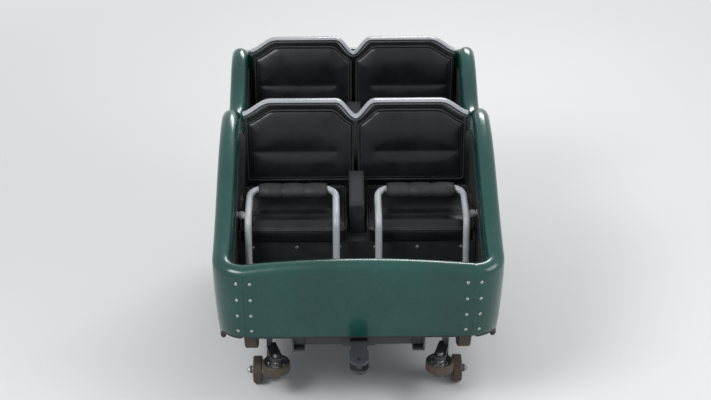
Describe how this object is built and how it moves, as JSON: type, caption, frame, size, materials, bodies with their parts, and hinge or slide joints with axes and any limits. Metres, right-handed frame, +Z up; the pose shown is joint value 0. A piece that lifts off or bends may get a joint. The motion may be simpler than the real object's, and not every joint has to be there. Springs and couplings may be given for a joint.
{
  "type": "roller coaster car",
  "caption": "Two-row wooden coaster car with moulded sides, padded seats, lap bars, a swinging drawbar and road, guide and up-stop wheels.",
  "frame": {"origin": "middle of the car in plan, at the height of the lowest point of the up-stop wheels", "axes": "+Y runs from the nose to the tail, +X to the car's own left, +Z up"},
  "size_m": [1.38, 2.29, 1.2986],
  "materials": {
    "chassis_paint": "satin",
    "floor_plate": "rough",
    "body_gelcoat": "gloss",
    "seat_shell": "gloss",
    "upholstery": "smooth",
    "divider_plastic": "matte",
    "seat_base_paint": "satin",
    "bar_paint": "satin",
    "carrier_paint": "satin",
    "wheel_tread": "satin",
    "coupling_steel": "rough"
  },
  "bodies": {
    "car": {"chassis_frame": "chassis_paint", "floor_pan": "floor_plate", "left_side": "body_gelcoat", "right_side": "body_gelcoat", "nose_panel": "body_gelcoat", "tail_panel": "body_gelcoat", "front_coupling": "chassis_paint", "front_axle_beam": "chassis_paint", "front_seat_base": "seat_base_paint", "front_seat_back": "seat_shell", "front_divider": "divider_plastic", "rear_axle_beam": "chassis_paint", "rear_seat_base": "seat_base_paint", "rear_seat_back": "seat_shell", "rear_divider": "divider_plastic", "front_left_carrier": "carrier_paint", "front_left_cushion": "upholstery", "front_left_back_pad": "upholstery", "front_right_carrier": "carrier_paint", "front_right_cushion": "upholstery", "front_right_back_pad": "upholstery", "rear_left_carrier": "carrier_paint", "rear_left_cushion": "upholstery", "rear_left_back_pad": "upholstery", "rear_right_carrier": "carrier_paint", "rear_right_cushion": "upholstery", "rear_right_back_pad": "upholstery"},
    "drawbar": {"drawbar": "coupling_steel"},
    "chain_dog": {"chain_dog": "coupling_steel"},
    "front_left_road_wheel": {"front_left_road_wheel": "wheel_tread"},
    "front_left_guide_wheel": {"front_left_guide_wheel": "wheel_tread"},
    "front_left_upstop_wheel": {"front_left_upstop_wheel": "wheel_tread"},
    "front_left_lap_bar": {"front_left_lap_bar": "bar_paint"},
    "front_right_road_wheel": {"front_right_road_wheel": "wheel_tread"},
    "front_right_guide_wheel": {"front_right_guide_wheel": "wheel_tread"},
    "front_right_upstop_wheel": {"front_right_upstop_wheel": "wheel_tread"},
    "front_right_lap_bar": {"front_right_lap_bar": "bar_paint"},
    "rear_left_road_wheel": {"rear_left_road_wheel": "wheel_tread"},
    "rear_left_guide_wheel": {"rear_left_guide_wheel": "wheel_tread"},
    "rear_left_upstop_wheel": {"rear_left_upstop_wheel": "wheel_tread"},
    "rear_left_lap_bar": {"rear_left_lap_bar": "bar_paint"},
    "rear_right_road_wheel": {"rear_right_road_wheel": "wheel_tread"},
    "rear_right_guide_wheel": {"rear_right_guide_wheel": "wheel_tread"},
    "rear_right_upstop_wheel": {"rear_right_upstop_wheel": "wheel_tread"},
    "rear_right_lap_bar": {"rear_right_lap_bar": "bar_paint"}
  },
  "joints": [
    {"name": "drawbar_swing", "type": "hinge", "parent": "car", "child": "drawbar", "pos_m": [0, 0.9, 0.45], "axis": [0, 0, 1], "range_deg": [-15, 15]},
    {"name": "chain_dog_lift", "type": "hinge", "parent": "car", "child": "chain_dog", "pos_m": [0, 0.34, 0.4], "axis": [1, 0, 0], "range_deg": [0, 25]},
    {"name": "front_left_road_wheel_turn", "type": "hinge", "parent": "car", "child": "front_left_road_wheel", "pos_m": [0.5335, -0.6, 0.372], "axis": [1, 0, 0], "continuous": true},
    {"name": "front_left_guide_wheel_turn", "type": "hinge", "parent": "car", "child": "front_left_guide_wheel", "pos_m": [0.4095, -0.75, 0.197], "axis": [0, 0, 1], "continuous": true},
    {"name": "front_left_upstop_wheel_turn", "type": "hinge", "parent": "car", "child": "front_left_upstop_wheel", "pos_m": [0.5115, -0.6, 0.07], "axis": [1, 0, 0], "continuous": true},
    {"name": "front_left_lap_bar_lift", "type": "hinge", "parent": "car", "child": "front_left_lap_bar", "pos_m": [0.319, -0.64006, 0.62], "axis": [1, 0, 0], "range_deg": [0, 45]},
    {"name": "front_right_road_wheel_turn", "type": "hinge", "parent": "car", "child": "front_right_road_wheel", "pos_m": [-0.5335, -0.6, 0.372], "axis": [1, 0, 0], "continuous": true},
    {"name": "front_right_guide_wheel_turn", "type": "hinge", "parent": "car", "child": "front_right_guide_wheel", "pos_m": [-0.4095, -0.75, 0.197], "axis": [0, 0, 1], "continuous": true},
    {"name": "front_right_upstop_wheel_turn", "type": "hinge", "parent": "car", "child": "front_right_upstop_wheel", "pos_m": [-0.5115, -0.6, 0.07], "axis": [1, 0, 0], "continuous": true},
    {"name": "front_right_lap_bar_lift", "type": "hinge", "parent": "car", "child": "front_right_lap_bar", "pos_m": [-0.319, -0.64006, 0.62], "axis": [1, 0, 0], "range_deg": [0, 45]},
    {"name": "rear_left_road_wheel_turn", "type": "hinge", "parent": "car", "child": "rear_left_road_wheel", "pos_m": [0.5335, 0.6, 0.372], "axis": [1, 0, 0], "continuous": true},
    {"name": "rear_left_guide_wheel_turn", "type": "hinge", "parent": "car", "child": "rear_left_guide_wheel", "pos_m": [0.4095, 0.75, 0.197], "axis": [0, 0, 1], "continuous": true},
    {"name": "rear_left_upstop_wheel_turn", "type": "hinge", "parent": "car", "child": "rear_left_upstop_wheel", "pos_m": [0.5115, 0.6, 0.07], "axis": [1, 0, 0], "continuous": true},
    {"name": "rear_left_lap_bar_lift", "type": "hinge", "parent": "car", "child": "rear_left_lap_bar", "pos_m": [0.319, 0.21994, 0.62], "axis": [1, 0, 0], "range_deg": [0, 45]},
    {"name": "rear_right_road_wheel_turn", "type": "hinge", "parent": "car", "child": "rear_right_road_wheel", "pos_m": [-0.5335, 0.6, 0.372], "axis": [1, 0, 0], "continuous": true},
    {"name": "rear_right_guide_wheel_turn", "type": "hinge", "parent": "car", "child": "rear_right_guide_wheel", "pos_m": [-0.4095, 0.75, 0.197], "axis": [0, 0, 1], "continuous": true},
    {"name": "rear_right_upstop_wheel_turn", "type": "hinge", "parent": "car", "child": "rear_right_upstop_wheel", "pos_m": [-0.5115, 0.6, 0.07], "axis": [1, 0, 0], "continuous": true},
    {"name": "rear_right_lap_bar_lift", "type": "hinge", "parent": "car", "child": "rear_right_lap_bar", "pos_m": [-0.319, 0.21994, 0.62], "axis": [1, 0, 0], "range_deg": [0, 45]}
  ]
}
